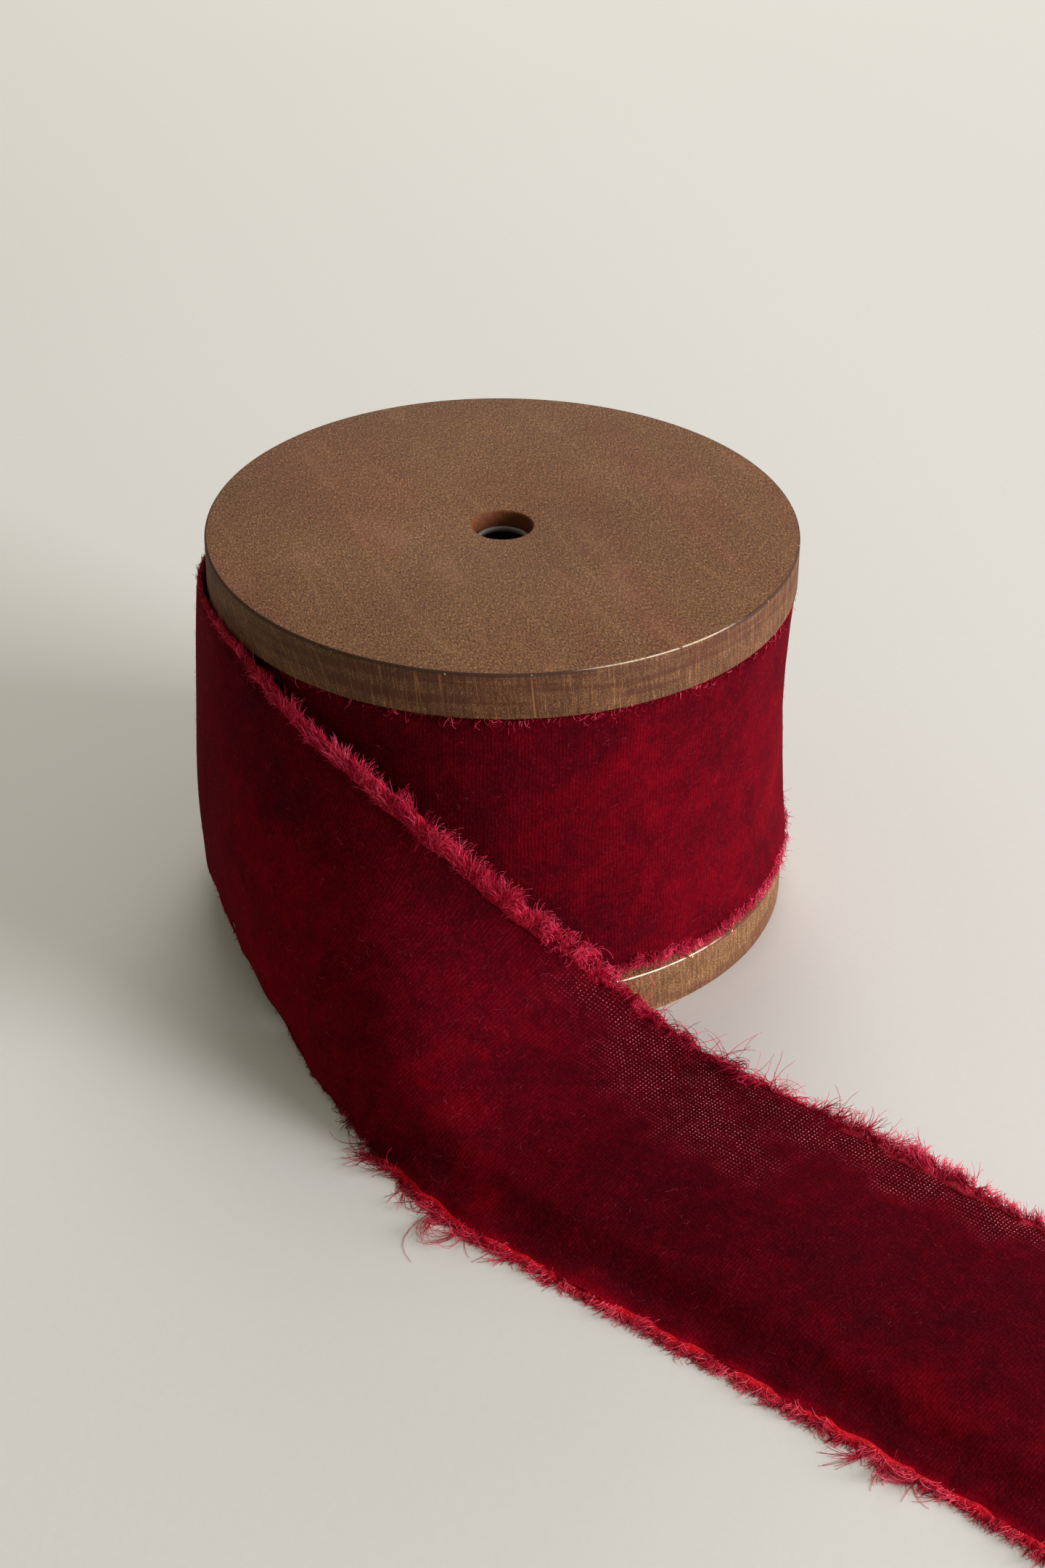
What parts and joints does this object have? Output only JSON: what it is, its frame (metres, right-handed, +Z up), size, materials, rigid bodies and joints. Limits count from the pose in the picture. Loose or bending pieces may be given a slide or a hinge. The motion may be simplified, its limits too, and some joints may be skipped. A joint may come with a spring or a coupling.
{
  "type": "roll of velvet ribbon on a wooden spool",
  "caption": "Frayed-edge velvet ribbon wound on a round wooden spool, its loose end twisting down off the roll and running out flat on the surface.",
  "frame": {"origin": "middle of the footprint of the whole part, on the surface that the spool stands on", "axes": "+Z up along the spool's axis; +Y towards the back of the spool, so that the loose end runs out towards -Y and +X"},
  "size_m": [0.1296, 0.1696, 0.0531],
  "materials": {
    "stained_wood": "walnut-brown stain, satin, open grain",
    "core_board": "grey paper board tube, matt",
    "velvet": "crimson cut-pile velvet, mottled nap",
    "frayed_thread": "loose crimson-pink thread"
  },
  "bodies": {
    "root": {"disc_lower": "stained_wood", "disc_upper": "stained_wood", "core_tube": "core_board", "ribbon_roll": "velvet", "ribbon_tail": "velvet", "fray_upper_side": "frayed_thread", "fray_lower_side": "frayed_thread", "fray_upper_fall": "frayed_thread", "fray_lower_fall": "frayed_thread", "fray_upper_turn": "frayed_thread", "fray_lower_turn": "frayed_thread", "fray_upper_flat": "frayed_thread", "fray_lower_flat": "frayed_thread"}
  },
  "joints": []
}
